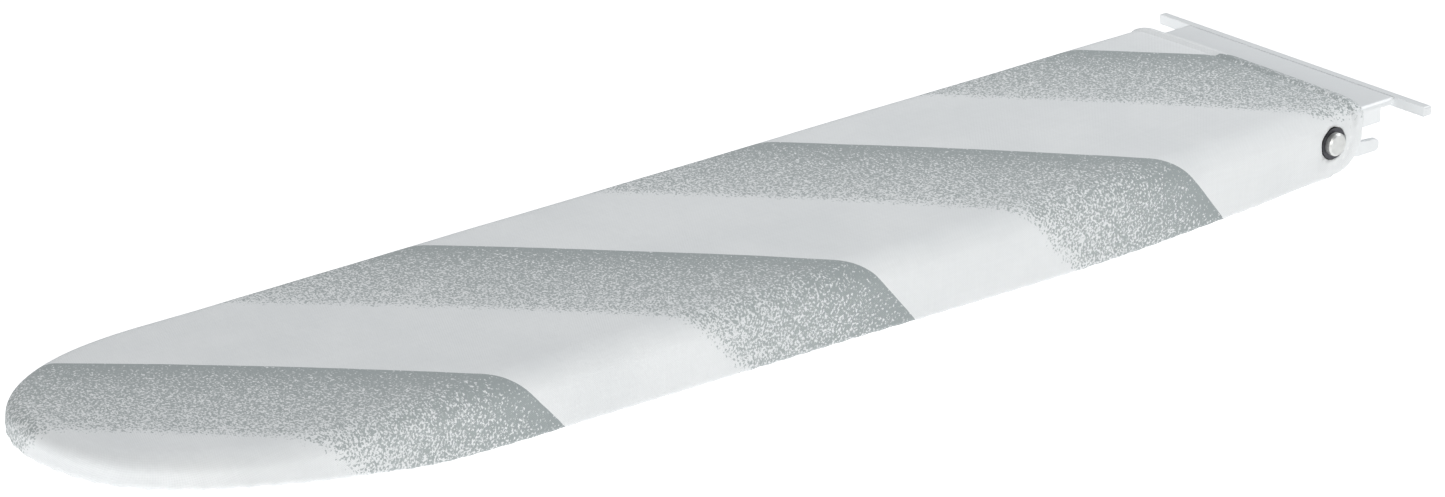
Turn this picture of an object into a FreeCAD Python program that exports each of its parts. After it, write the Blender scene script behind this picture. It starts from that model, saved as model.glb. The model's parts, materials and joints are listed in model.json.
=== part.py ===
import FreeCAD, Part
import math
import os

# Folding sleeve ironing board on a sheet-metal hinge bracket.
# Pieces are drawn about the hinge pin: X along the pin, +Y to the bracket's rear, -Y to the board's
# nose, +Z up. save() then moves them so that the origin is the middle of the bracket's seat face.
# All sizes are in millimetres.

# Board outline, to the outside of the cover
board_length = 500.0        # pin axis to nose tip
pin_half_width = 55.2       # at the pin axis
shoulder_half_width = 58.0  # where the straight side meets the nose
nose_depth = 80.0           # length of the elliptical nose
rear_overhang = 16.2        # cover's top edge behind the pin axis
rear_corner = 14.5          # the side's lower rear corner, behind the pin axis
rear_corner_depth = 12.6    # and below it
rear_slope_low = 3.5        # height where the side's rear edge starts to lean back

# Lower edge of the board: depth below the pin axis, and how far forward of it that is measured
heel_depth = 14.4
heel_place = 45.0
belly_depth = 13.4
belly_place = 0.45 * board_length
flank_depth = 11.5
flank_place = board_length - 180.0
shoulder_depth = 9.7
shoulder_place = board_length - 112.0
bend_depth = 3.9            # the side gets shallower where it goes round into the nose
bend_place = board_length - 70.0
front_depth = 0.3
front_place = board_length - 40.0
tip_depth = -1.2            # above the pin axis
tip_rise = 0.2              # further rise of the cutting line beyond the nose tip
tip_run = 30.0

# Layers, stacked on the hinge
cover_thickness = 0.7
edge_radius = 6.5
felt_thickness = 2.1
felt_skirt = 1.0
pan_sheet = 1.0
pan_bend = 3.0

# Cover hems
rear_hem_width = 7.0
lower_hem_width = 6.3
lower_hem_height = 2.4
lower_hem_start = 36.0      # forward of the pin, so that the hem clears the bracket
hem_wall = 0.5
hem_lip_slack = 1.0
elastic_play = 0.05

# Hinge pin and what runs on it
pin_radius = 4.0
pin_proud = 2.4             # beyond the cover's side
pin_chamfer = 0.6
running_clearance = 0.05
bush_wall = 0.75
bush_flange_land = 0.7
bush_flange = 0.7
ring_stand = 1.5            # snap ring's edge beyond the pin's surface
ring_groove = 0.4
ring_thickness = 1.0
ring_gap_angle = 40.0
ring_gap = 0.15             # snap ring to bush flange
seat_play = 0.01            # rivet heads and bush flanges off the pan's tapering side
side_hole_clearance = 0.3   # snap ring to the hole in felt and cover
cheek_thickness = 1.5
washer_thickness = 0.6
washer_land = 2.15
washer_gap = 0.2            # washer to cheek
spacer_wall = 1.45

# Cheeks and their rivets, forward of and above the pin axis
cheek_front = 42.0
cheek_rear = 11.0
cheek_rise = 4.5            # cheek's lower edge above the side's lower rear corner
cheek_corner = 6.0
cheek_rivet_places = ((17.0, -5.0), (34.0, -5.0), (25.5, 2.0))
rivet_radius = 1.5
rivet_head_radius = 2.8
rivet_head = 0.7
rivet_clearance = 0.2

# Cross channel under the pan's rear end
channel_front = 33.0
channel_rear = 15.0
channel_depth = 7.0
channel_sheet = 1.0
channel_end_gap = 1.2
channel_rivet_edge = 4.8
channel_rivet_count = 4

# Steam holes in the pan
steam_radius = 3.0
steam_first = 62.0
steam_pitch = 34.0
steam_nose_margin = 60.0
steam_row_gap = 30.0

# Bracket
plate_sheet = 2.0
plate_gap = 0.3             # plate to the pan above it
plate_front = 9.0           # behind the pin axis
plate_tail = 7.2            # plate beyond the flange tabs
plate_bend = 1.8
relief_radius = 1.0
flange_land = 2.4           # flange's round end beyond the pin's surface
flange_gap = 0.6            # flange's round end to the pan above it
tab_stand = 11.8            # tab beyond the cover's rear edge
tab_low = -0.3
slot_cover = 1.0            # slot's root inside the cover's side
slot_height = 4.8
slot_fall = 0.9             # the slot's lower side falls towards its mouth
prong_short = 0.3           # prong's tip short of the tab's
prong_low = -10.3
prong_tip_radius = 1.6
prong_ramp = 4.5            # from the slot's root to the prong's level underside

# Cross bar
bar_overhang = 13.7         # beyond the plate's side
bar_width = 3.6
bar_height = 3.6
bar_step = 0.2              # bar's top above the plate's
bar_edge = 0.8

# Worked-out places
flange_pin_radius = pin_radius + flange_land
pan_under = flange_pin_radius + flange_gap
pan_top = pan_under + pan_sheet
felt_top = pan_top + felt_thickness
cover_top = felt_top + cover_thickness
rear_slope_high = pan_under
felt_inset = cover_thickness
pan_inset = felt_inset + felt_skirt
pan_inner_inset = pan_inset + pan_sheet
rear_hem_start = rear_overhang - cover_thickness - rear_hem_width
pan_outer_x = pin_half_width - pan_inset
pan_inner_x = pin_half_width - pan_inner_inset
cheek_inner_x = pan_inner_x - cheek_thickness
flange_outer_x = cheek_inner_x - washer_gap - washer_thickness
flange_inner_x = flange_outer_x - plate_sheet
bush_inner_radius = pin_radius + running_clearance
bush_radius = bush_inner_radius + bush_wall
bush_flange_radius = bush_radius + bush_flange_land
washer_radius = bush_inner_radius + washer_land
spacer_radius = bush_inner_radius + spacer_wall
ring_outer_radius = pin_radius + ring_stand
ring_inner_radius = pin_radius - ring_groove
side_taper = abs(shoulder_half_width - pin_half_width) / (board_length - nose_depth)
seat_slack = seat_play + side_taper * bush_flange_radius
bush_seat_x = pan_outer_x + seat_slack
ring_inner_x = bush_seat_x + bush_flange + ring_gap
ring_outer_x = ring_inner_x + ring_thickness
pin_half_length = pin_half_width + pin_proud
plate_top = pan_under - plate_gap
plate_under = plate_top - plate_sheet
tab_rear = rear_overhang + tab_stand
plate_rear = tab_rear + plate_tail
prong_rear = tab_rear - prong_short
slot_root = rear_corner - slot_cover
prong_flat_start = slot_root + prong_ramp
bar_top = plate_top + bar_step
bar_half_length = flange_outer_x + bar_overhang
cheek_low = rear_corner - cheek_rise
channel_half_length = cheek_inner_x - channel_end_gap
steam_count = int((board_length - steam_nose_margin - steam_first) / steam_pitch)
seat_y = (plate_front + plate_rear) / 2
floor_z = -40.0             # below every piece, for cutting shapes
reach = 90.0                # beyond every piece sideways


def vec(x, y, z):
    return FreeCAD.Vector(x, y, z)


def save(name, shape):
    placed = shape.copy()
    placed.translate(vec(0, -seat_y, -plate_under))
    placed.exportStep("parts/" + name + ".step")
    print(name, len(placed.Solids), "solids", round(placed.Volume, 1), placed.isValid())


def box(x0, x1, y0, y1, z0, z1):
    return Part.makeBox(x1 - x0, y1 - y0, z1 - z0, vec(x0, y0, z0))


def rod(x0, x1, radius, y=0.0, z=0.0):
    return Part.makeCylinder(radius, x1 - x0, vec(x0, y, z), vec(1, 0, 0))


def post(z0, z1, radius, x, y):
    return Part.makeCylinder(radius, z1 - z0, vec(x, y, z0), vec(0, 0, 1))


def line(a, b):
    return Part.LineSegment(a, b).toShape()


def arc(a, b, c):
    return Part.Arc(a, b, c).toShape()


def mirrored(shape):
    return shape.mirror(vec(0, 0, 0), vec(1, 0, 0))


def side_tangent(inset):
    """Angle on the nose ellipse where the straight side leaves it."""
    across = (pin_half_width - inset) / (shoulder_half_width - inset)
    along = (board_length - nose_depth) / (nose_depth - inset)
    return math.atan2(along, across) - math.acos(1 / math.hypot(across, along))


def half_width(y, inset):
    """Half width of the straight part of the board at y, inset from the cover's side."""
    angle = side_tangent(inset)
    side_x = (shoulder_half_width - inset) * math.cos(angle)
    side_y = nose_depth - board_length + (nose_depth - inset) * math.sin(angle)
    slope = (side_x - (pin_half_width - inset)) / side_y
    return pin_half_width - inset + slope * y


def outline(inset, rear):
    """Board outline seen from above: straight sides and an elliptical nose."""
    centre = vec(0, nose_depth - board_length, 0)
    angle = side_tangent(inset)
    nose = Part.Ellipse(centre + vec(0, nose_depth - inset, 0),
                        centre + vec(shoulder_half_width - inset, 0, 0), centre)
    start = vec((shoulder_half_width - inset) * math.cos(angle), 0, 0)
    start.y = centre.y + (nose_depth - inset) * math.sin(angle)
    end = vec(-start.x, start.y, 0)
    curve = Part.ArcOfEllipse(nose, nose.parameter(start), nose.parameter(end)).toShape()
    corner = vec(half_width(rear, inset), rear, 0)
    far_corner = vec(-corner.x, rear, 0)
    edges = [line(corner, start), curve, line(end, far_corner), line(far_corner, corner)]
    return Part.Face(Part.Wire(Part.__sortEdges__(edges)))


def slab(inset, rear, top, radius):
    """The outline carried up to a top, whose side and nose edge is rounded."""
    face = outline(inset, rear)
    face.translate(vec(0, 0, floor_z))
    solid = face.extrude(vec(0, 0, top - floor_z))
    if radius > 0:
        rim = [e for e in solid.Edges if on_rim(e, top, rear)]
        solid = solid.makeFillet(radius, rim)
    return solid


def on_rim(edge, top, rear):
    middle = edge.CenterOfMass
    flat = edge.BoundBox.ZLength < 0.01
    return flat and abs(middle.z - top) < 0.01 and middle.y < rear - 0.5


def edge_stations():
    return [(heel_place, heel_depth), (belly_place, belly_depth), (flank_place, flank_depth),
            (shoulder_place, shoulder_depth), (bend_place, bend_depth), (front_place, front_depth),
            (board_length, tip_depth), (board_length + tip_run, tip_depth - tip_rise)]


def above_edge(raise_by):
    """Everything above the board's lower edge and forward of its rear edge, as a block."""
    radius = rear_corner - raise_by
    depth_here = rear_corner_depth - raise_by
    high = cover_top + 10.0
    rear = rear_overhang - raise_by
    slope_low = vec(0, radius, rear_slope_low)
    slope_high = vec(0, rear, rear_slope_high)
    level = vec(0, radius, 0)
    middle = vec(0, radius * math.sqrt(0.5), -depth_here * math.sqrt(0.5))
    bottom = vec(0, 0, -depth_here)
    points = [bottom] + [vec(0, -y, raise_by - depth) for y, depth in edge_stations()]
    curve = Part.BSplineCurve()
    curve.interpolate(Points=points, InitialTangent=vec(0, -1, 0), FinalTangent=vec(0, -1, 0.03))
    corner = Part.BSplineCurve()
    corner.interpolate(Points=[level, middle, bottom], InitialTangent=vec(0, 0, -1), FinalTangent=vec(0, -1, 0))
    tip = points[-1]
    edges = [
        line(vec(0, rear, high), slope_high),
        line(slope_high, slope_low),
        line(slope_low, level),
        corner.toShape(),
        curve.toShape(),
        line(tip, vec(0, tip.y, high)),
        line(vec(0, tip.y, high), vec(0, rear, high)),
    ]
    face = Part.Face(Part.Wire(edges))
    face.translate(vec(-reach, 0, 0))
    return face.extrude(vec(2 * reach, 0, 0))


def edge_band(outer_inset, inner_inset, low, high):
    """A ring that follows the outline and the lower edge, between two heights above that edge."""
    rear = rear_overhang + 5.0
    ring = slab(outer_inset, rear, pan_under, 0.0).cut(slab(inner_inset, rear + 1.0, pan_under + 1.0, 0.0))
    return ring.common(above_edge(low).cut(above_edge(high)))


def board_hollow():
    """The space under the pan, open below and behind."""
    return slab(pan_inner_inset, rear_overhang + 5.0, pan_under, pan_bend - pan_sheet)


def cheek_rivet_spots():
    return [(-forward, height) for forward, height in cheek_rivet_places]


def channel_rivet_spots():
    last = channel_half_length - channel_rivet_edge
    step = 2 * last / (channel_rivet_count - 1)
    middle = -(channel_front + channel_rear) / 2
    return [(i * step - last, middle) for i in range(channel_rivet_count)]


def steam_spots():
    spots = []
    for row in (-1, 0, 1):
        stagger = steam_pitch / 2 if row == 0 else 0.0
        for i in range(steam_count):
            spots.append((row * steam_row_gap, -(steam_first + stagger + i * steam_pitch)))
    return spots


def side_hole(radius):
    return rod(-reach, reach, radius)


# Bracket

def flange_outline():
    """Side flange: round the pin, an upper tab, a slot open to the rear and a lower prong."""
    slot_radius = slot_height / 2
    slot_mid = tab_low - slot_radius
    slot_low = tab_low - slot_height
    tip_radius = prong_tip_radius
    tip_top = slot_low - slot_fall
    lean = math.atan2(-prong_low, prong_flat_start)
    turn = lean + math.acos(flange_pin_radius / math.hypot(prong_low, prong_flat_start))
    pin_low = vec(0, flange_pin_radius * math.cos(turn), -flange_pin_radius * math.sin(turn))
    pin_high = vec(0, 0, flange_pin_radius)
    pin_front = vec(0, -flange_pin_radius, 0)
    bend = tip_radius * (1 - math.sqrt(0.5))
    p = {
        "flat": vec(0, prong_flat_start, prong_low),
        "tip_a": vec(0, prong_rear - tip_radius, prong_low),
        "tip_b": vec(0, prong_rear - bend, prong_low + bend),
        "tip_c": vec(0, prong_rear, prong_low + tip_radius),
        "tip_d": vec(0, prong_rear, tip_top - tip_radius),
        "tip_e": vec(0, prong_rear - bend, tip_top - bend),
        "tip_f": vec(0, prong_rear - tip_radius, tip_top),
        "root_low": vec(0, slot_root, slot_low),
        "root": vec(0, slot_root - slot_radius, slot_mid),
        "root_high": vec(0, slot_root, tab_low),
        "tab_low": vec(0, tab_rear, tab_low),
        "tab_high": vec(0, tab_rear, plate_top),
        "front_high": vec(0, plate_front, plate_top),
        "front_low": vec(0, plate_front, flange_pin_radius),
    }
    edges = [
        arc(pin_high, pin_front, pin_low),
        line(pin_low, p["flat"]),
        line(p["flat"], p["tip_a"]),
        arc(p["tip_a"], p["tip_b"], p["tip_c"]),
        line(p["tip_c"], p["tip_d"]),
        arc(p["tip_d"], p["tip_e"], p["tip_f"]),
        line(p["tip_f"], p["root_low"]),
        arc(p["root_low"], p["root"], p["root_high"]),
        line(p["root_high"], p["tab_low"]),
        line(p["tab_low"], p["tab_high"]),
        line(p["tab_high"], p["front_high"]),
        line(p["front_high"], p["front_low"]),
        line(p["front_low"], pin_high),
    ]
    return Part.Face(Part.Wire(edges))


def make_bracket_plate():
    flange = flange_outline()
    flange.translate(vec(flange_inner_x, 0, 0))
    flange = flange.extrude(vec(plate_sheet, 0, 0))
    top = box(-flange_outer_x, flange_outer_x, plate_front, plate_rear, plate_under, plate_top)
    sheet = top.fuse(flange).fuse(mirrored(flange)).removeSplitter()
    bends = [e for e in sheet.Edges if on_bend(e)]
    sheet = sheet.makeFillet(plate_bend, bends)
    relief_y = plate_rear - relief_radius
    for x in (-flange_outer_x, flange_outer_x):
        sheet = sheet.cut(post(plate_under - 1, plate_top + 1, relief_radius, x, relief_y))
    return sheet.cut(side_hole(pin_radius))


def on_bend(edge):
    middle = edge.CenterOfMass
    along = edge.BoundBox.YLength > (tab_rear - plate_front) / 2
    outside = abs(abs(middle.x) - flange_outer_x) < 0.01
    return along and outside and abs(middle.z - plate_top) < 0.01


def make_cross_bar():
    front = plate_rear
    bar = box(-bar_half_length, bar_half_length, front, front + bar_width, bar_top - bar_height, bar_top)
    rounded = [e for e in bar.Edges if e.CenterOfMass.y > front + 0.1 or abs(e.CenterOfMass.x) > 1]
    return bar.makeFillet(bar_edge, rounded)


def make_hinge_pin():
    pin = rod(-pin_half_length, pin_half_length, pin_radius)
    ends = [e for e in pin.Edges if abs(abs(e.CenterOfMass.x) - pin_half_length) < 0.01]
    pin = pin.makeChamfer(pin_chamfer, ends)
    groove = rod(ring_inner_x, ring_outer_x, pin_radius + 1).cut(
        rod(ring_inner_x, ring_outer_x, ring_inner_radius))
    return pin.cut(groove).cut(mirrored(groove))


def make_snap_ring():
    ring = rod(ring_inner_x, ring_outer_x, ring_outer_radius).cut(
        rod(ring_inner_x, ring_outer_x, ring_inner_radius))
    half = math.radians(ring_gap_angle / 2)
    far = 2 * ring_outer_radius
    mouth = Part.makePolygon([
        vec(ring_inner_x, 0, 0),
        vec(ring_inner_x, far * math.cos(half), far * math.sin(half)),
        vec(ring_inner_x, far * math.cos(half), -far * math.sin(half)),
        vec(ring_inner_x, 0, 0)])
    return ring.cut(Part.Face(mouth).extrude(vec(ring_thickness, 0, 0)))


def make_friction_washer():
    outer_x = flange_outer_x + washer_thickness
    return rod(flange_outer_x, outer_x, washer_radius).cut(
        rod(flange_outer_x, outer_x, bush_inner_radius))


def make_spacer_tube():
    return rod(-flange_inner_x, flange_inner_x, spacer_radius).cut(
        rod(-flange_inner_x, flange_inner_x, bush_inner_radius))


# Board

def make_board_pan():
    pan = slab(pan_inset, rear_overhang - cover_thickness, pan_top, pan_bend)
    pan = pan.common(above_edge(cover_thickness)).cut(board_hollow())
    pan = pan.cut(side_hole(bush_radius))
    for y, z in cheek_rivet_spots():
        pan = pan.cut(rod(-reach, reach, rivet_radius, y, z))
    for x, y in channel_rivet_spots():
        pan = pan.cut(post(pan_under - 1, pan_top + 1, rivet_radius, x, y))
    for x, y in steam_spots():
        pan = pan.cut(post(pan_under - 1, pan_top + 1, steam_radius, x, y))
    return pan


def make_hinge_cheek():
    plate = box(cheek_inner_x, pan_inner_x + 1, -cheek_front, cheek_rear, -cheek_low, pan_under)
    corners = [e for e in plate.Edges if e.BoundBox.XLength > 1 and e.CenterOfMass.z < 0]
    plate = plate.makeFillet(cheek_corner, corners)
    plate = plate.common(board_hollow()).common(above_edge(cover_thickness))
    plate = plate.cut(side_hole(bush_radius))
    for y, z in cheek_rivet_spots():
        plate = plate.cut(rod(-reach, reach, rivet_radius, y, z))
    return plate


def make_cheek_rivets():
    rivets = []
    for y, z in cheek_rivet_spots():
        outer_x = half_width(y, pan_inset) + seat_slack
        rivet = rod(cheek_inner_x - rivet_head, outer_x + rivet_head, rivet_radius, y, z)
        rivet = rivet.fuse(rod(outer_x, outer_x + rivet_head, rivet_head_radius, y, z))
        rivet = rivet.fuse(rod(cheek_inner_x - rivet_head, cheek_inner_x, rivet_head_radius, y, z))
        rivets.append(rivet.removeSplitter())
    return Part.makeCompound(rivets)


def make_pin_bush():
    bush = rod(cheek_inner_x, bush_seat_x, bush_radius)
    bush = bush.fuse(rod(bush_seat_x, bush_seat_x + bush_flange, bush_flange_radius))
    return bush.removeSplitter().cut(side_hole(bush_inner_radius))


def make_rear_cross_channel():
    low = pan_under - channel_depth
    block = box(-channel_half_length, channel_half_length, -channel_front, -channel_rear, low, pan_under)
    inside = box(-reach, reach, -channel_front + channel_sheet, -channel_rear - channel_sheet,
                 low - 1, pan_under - channel_sheet)
    channel = block.cut(inside)
    for x, y in channel_rivet_spots():
        channel = channel.cut(post(low, pan_under + 1, rivet_radius, x, y))
    return channel


def make_channel_rivets():
    rivets = []
    low = pan_under - channel_sheet
    for x, y in channel_rivet_spots():
        rivet = post(low - rivet_head, pan_top + rivet_head, rivet_radius, x, y)
        rivet = rivet.fuse(post(pan_top, pan_top + rivet_head, rivet_head_radius, x, y))
        rivet = rivet.fuse(post(low - rivet_head, low, rivet_head_radius, x, y))
        rivets.append(rivet.removeSplitter())
    return Part.makeCompound(rivets)


def felt_space():
    """All that lies between the cover and the pan."""
    felt = slab(felt_inset, rear_overhang - cover_thickness, felt_top, edge_radius - cover_thickness)
    felt = felt.common(above_edge(cover_thickness))
    pan = slab(pan_inset, rear_overhang + 5.0, pan_top, pan_bend)
    return felt.cut(pan).cut(side_hole(ring_outer_radius + side_hole_clearance))


def rear_hem_zone():
    return box(-reach, reach, rear_hem_start, rear_overhang + 5.0, pan_top, felt_top + 1)


def make_felt_pad():
    felt = felt_space().cut(rear_hem_zone())
    head = rivet_head_radius + rivet_clearance
    for y, z in cheek_rivet_spots():
        felt = felt.cut(rod(-reach, reach, head, y, z))
    for x, y in channel_rivet_spots():
        felt = felt.cut(post(pan_under, pan_top + rivet_head + rivet_clearance, head, x, y))
    return felt


def make_rear_hem():
    return felt_space().common(rear_hem_zone())


def make_cover():
    cover = slab(0.0, rear_overhang, cover_top, edge_radius).common(above_edge(0.0))
    inside = slab(felt_inset, rear_overhang + 5.0, felt_top, edge_radius - cover_thickness)
    cover = cover.cut(inside.common(above_edge(cover_thickness)))
    cover = cover.cut(slab(pan_inner_inset, rear_overhang + 5.0, pan_under, 0.0))
    return cover.cut(side_hole(ring_outer_radius + side_hole_clearance))


def ahead_of_bracket(shape):
    return shape.common(box(-reach, reach, -2 * board_length, -lower_hem_start, floor_z, cover_top))


def make_lower_hem():
    inner = pan_inner_inset + lower_hem_width
    hem = edge_band(pan_inner_inset, inner, 0.0, lower_hem_height)
    sleeve = edge_band(pan_inner_inset + hem_wall + hem_lip_slack, inner - hem_wall,
                       hem_wall, lower_hem_height - hem_wall)
    return ahead_of_bracket(hem.cut(sleeve))


def make_hem_elastic():
    outer = pan_inner_inset + hem_wall + hem_lip_slack + elastic_play
    inner = pan_inner_inset + lower_hem_width - hem_wall - elastic_play
    low = hem_wall + elastic_play
    high = lower_hem_height - hem_wall - elastic_play
    return ahead_of_bracket(edge_band(outer, inner, low, high))


def save_pair(name, shape):
    save(name + "_right", shape)
    save(name + "_left", mirrored(shape))


os.makedirs("parts", exist_ok=True)

save("bracket_plate", make_bracket_plate())
save("cross_bar", make_cross_bar())
save("hinge_pin", make_hinge_pin())
save("spacer_tube", make_spacer_tube())
save_pair("snap_ring", make_snap_ring())
save_pair("friction_washer", make_friction_washer())

save("board_pan", make_board_pan())
save_pair("hinge_cheek", make_hinge_cheek())
save_pair("cheek_rivets", make_cheek_rivets())
save_pair("pin_bush", make_pin_bush())
save("rear_cross_channel", make_rear_cross_channel())
save("channel_rivets", make_channel_rivets())
save("felt_pad", make_felt_pad())
save("rear_hem", make_rear_hem())
save("cover", make_cover())
save("lower_hem", make_lower_hem())
save("hem_elastic", make_hem_elastic())
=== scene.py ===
import json
import math
import bmesh
import bpy
from mathutils import Matrix, Vector, noise
from mathutils.bvhtree import BVHTree


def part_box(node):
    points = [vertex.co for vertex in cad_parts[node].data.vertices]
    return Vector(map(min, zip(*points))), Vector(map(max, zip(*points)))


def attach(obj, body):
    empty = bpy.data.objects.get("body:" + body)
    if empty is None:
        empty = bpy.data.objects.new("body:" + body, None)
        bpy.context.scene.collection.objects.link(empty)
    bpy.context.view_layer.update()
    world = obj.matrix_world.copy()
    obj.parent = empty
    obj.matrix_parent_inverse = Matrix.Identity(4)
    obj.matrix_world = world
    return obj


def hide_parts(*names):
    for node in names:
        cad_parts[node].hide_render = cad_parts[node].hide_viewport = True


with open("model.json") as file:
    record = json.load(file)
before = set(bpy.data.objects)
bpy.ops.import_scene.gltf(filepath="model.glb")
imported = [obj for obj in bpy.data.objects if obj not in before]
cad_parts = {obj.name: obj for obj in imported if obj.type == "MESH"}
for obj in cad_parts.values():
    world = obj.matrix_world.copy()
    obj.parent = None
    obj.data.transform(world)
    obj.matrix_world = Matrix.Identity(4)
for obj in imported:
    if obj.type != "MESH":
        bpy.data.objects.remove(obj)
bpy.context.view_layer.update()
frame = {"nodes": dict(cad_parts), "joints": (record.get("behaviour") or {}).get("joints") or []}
print("frame loaded")

# Everything is in metres. "Forward" is the distance from the hinge pin towards the nose, along -Y.
hinge = Vector(frame["joints"][0]["pos_m"])
coverLow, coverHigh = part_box("cover")
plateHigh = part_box("bracket_plate")[1]
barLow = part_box("cross_bar")[0]

bpy.context.scene.view_settings.view_transform = "Standard"


cameraView = {
    "azimuth": 48.2,       # degrees, from straight in front of the nose round to the right side
    "elevation": 20.9,
    "roll": 0.35,
    "distance": 2.41,
    "aimForward": 0.25,
    "sideShift": 0.0176,   # how far the line of sight passes beside and above the aim point
    "upShift": 0.0080,
    "lens": 186.9,
    "sensorWidth": 36.0,
    "clipEnd": 100.0,
}

lighting = {
    "world": 0.205,
    "worldColour": (0.97, 0.985, 1.0),
    "keyPlace": (2.9, -1.3, 1.05),
    "keySize": 1.5,
    "keyColour": (1.0, 0.985, 0.960),
    "keyPower": 42.0,
    "fillPlace": (-0.9, -2.5, 0.5),
    "fillSize": 1.6,
    "fillColour": (1.0, 1.0, 1.0),
    "fillPower": 25.0,
    "topPlace": (0.1, 1.75, 1.8),
    "topSize": 1.8,
    "topColour": (0.98, 0.99, 1.0),
    "topPower": 45.0,
    "floorDrop": 0.555,    # below the hinge, clear of the board when it hangs down
    "floorSize": 60.0,
    "floorLight": (0.93, 0.93, 0.93),
    "floorDark": (0.90, 0.90, 0.90),
    "floorGlow": 0.58,
}


def makeCamera():
    v = cameraView
    azimuth, elevation, roll = (math.radians(v[k]) for k in ("azimuth", "elevation", "roll"))
    right = Vector((math.cos(azimuth), math.sin(azimuth), 0))
    back = Vector((math.sin(azimuth) * math.cos(elevation),
                   -math.cos(azimuth) * math.cos(elevation), math.sin(elevation)))
    up = back.cross(right)
    turned = right * math.cos(roll) + up * math.sin(roll)
    upright = up * math.cos(roll) - right * math.sin(roll)
    aim = hinge - Vector((0, v["aimForward"], 0))
    place = aim + turned * v["sideShift"] + upright * v["upShift"] + back * v["distance"]
    data = bpy.data.cameras.new("camera")
    data.lens = v["lens"]
    data.sensor_width = v["sensorWidth"]
    data.clip_end = v["clipEnd"]
    camera = bpy.data.objects.new("camera", data)
    bpy.context.scene.collection.objects.link(camera)
    turn = Matrix((turned, upright, back)).transposed().to_4x4()
    camera.matrix_world = Matrix.Translation(place) @ turn
    bpy.context.scene.camera = camera


def makeLight(name, place, size, power, colour):
    data = bpy.data.lights.new(name, "AREA")
    data.shape = "DISK"
    data.size = size
    data.energy = power
    data.color = colour
    light = bpy.data.objects.new(name, data)
    bpy.context.scene.collection.objects.link(light)
    aim = hinge - Vector((0, cameraView["aimForward"], 0))
    light.location = aim + Vector(place)
    light.rotation_euler = Vector(place).to_track_quat("Z", "Y").to_euler()


def newMaterial(name):
    material = bpy.data.materials.new(name)
    material.use_nodes = True
    nodes = material.node_tree.nodes
    return material, nodes, material.node_tree.links, nodes["Principled BSDF"]


def addNode(nodes, kind, settings=None, values=None):
    node = nodes.new(kind)
    for key, value in (settings or {}).items():
        setattr(node, key, value)
    for key, value in (values or {}).items():
        node.inputs[key].default_value = value
    return node


def math2(nodes, links, operation, a, b=None, c=None):
    node = addNode(nodes, "ShaderNodeMath", {"operation": operation})
    for socket, value in zip(node.inputs, (a, b, c)):
        if isinstance(value, (int, float)):
            socket.default_value = value
        elif value is not None:
            links.new(value, socket)
    return node.outputs[0]


def rangeOf(nodes, links, value, low, high, toLow=0.0, toHigh=1.0, smooth=True):
    kind = "SMOOTHSTEP" if smooth else "LINEAR"
    node = addNode(nodes, "ShaderNodeMapRange", {"interpolation_type": kind})
    for key, number in (("From Min", low), ("From Max", high), ("To Min", toLow), ("To Max", toHigh)):
        if isinstance(number, (int, float)):
            node.inputs[key].default_value = number
        else:
            links.new(number, node.inputs[key])
    links.new(value, node.inputs["Value"])
    return node.outputs["Result"]


def rampOf(nodes, links, value, stops):
    node = addNode(nodes, "ShaderNodeValToRGB")
    ramp = node.color_ramp
    while len(ramp.elements) < len(stops):
        ramp.elements.new(0.5)
    for element, (position, grey) in zip(ramp.elements, stops):
        element.position = position
        element.color = (grey, grey, grey, 1) if isinstance(grey, float) else (*grey, 1)
    links.new(value, node.inputs["Fac"])
    return node.outputs["Color"]


def noiseOf(nodes, links, vector, scale, detail=2.0, roughness=0.5):
    values = {"Scale": scale, "Detail": detail, "Roughness": roughness}
    node = addNode(nodes, "ShaderNodeTexNoise", {}, values)
    links.new(vector, node.inputs["Vector"])
    return node.outputs["Fac"]


def mixColour(nodes, links, factor, a, b, blend="MIX"):
    node = addNode(nodes, "ShaderNodeMix", {"data_type": "RGBA", "blend_type": blend})
    for key, value in ((0, factor), (6, a), (7, b)):
        if isinstance(value, (int, float)):
            node.inputs[key].default_value = value
        elif isinstance(value, tuple):
            node.inputs[key].default_value = (*value, 1)
        else:
            links.new(value, node.inputs[key])
    return node.outputs[2]


def bumpOf(nodes, links, shader, height, distance, strength=1.0):
    node = addNode(nodes, "ShaderNodeBump", {}, {"Distance": distance, "Strength": strength})
    links.new(height, node.inputs["Height"])
    links.new(node.outputs["Normal"], shader.inputs["Normal"])


def placeOf(nodes, where):
    return addNode(nodes, "ShaderNodeTexCoord").outputs[where]


printCloth = {
    "yarn": 0.00072,             # one thread and its gap
    "yarnHeight": 0.00007,
    "ground": (0.735, 0.755, 0.765),
    "groundShade": (0.700, 0.722, 0.734),
    "ink": (0.288, 0.324, 0.330),
    "inkPale": (0.375, 0.410, 0.415),
    "slope": (0.858, 0.100, 0.055),   # stripes' run per step across: at the pin, and what the nose adds
    "firstEdge": 0.0195,         # crisp edge of the rearmost stripe on the middle line, behind the pin
    "span": 0.440,
    "stripes": (3.215, -0.19),   # stripes in that span, a little wider apart towards the nose
    "speck": 1850.0,             # specks per metre, roughly
    "speckTone": 0.35,           # how much each speck's own tone counts, beside the blotches
    "blotchTone": 0.80,
    # share of the way across a stripe from its crisp edge, and the level under which a speck is bare
    "bareLevels": ((0.0, 0.29), (0.08, 0.365), (0.20, 0.425), (0.36, 0.47),
                   (0.47, 0.51), (0.50, 0.60), (0.525, 0.76), (0.55, 1.0)),
    "inkDepths": ((0.0, 1.0), (0.18, 0.62), (0.50, 0.30), (0.56, 0.2)),
    "inkBlur": 0.055,
    "wander": 0.0010,            # unevenness of the crisp edges
    "cornerWide": (0.050, 0.060),     # the print gives out round the rear corner: across, and along
    "cornerBehind": (-0.014, 0.002),
    "cornerLoss": 0.32,
}


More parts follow.
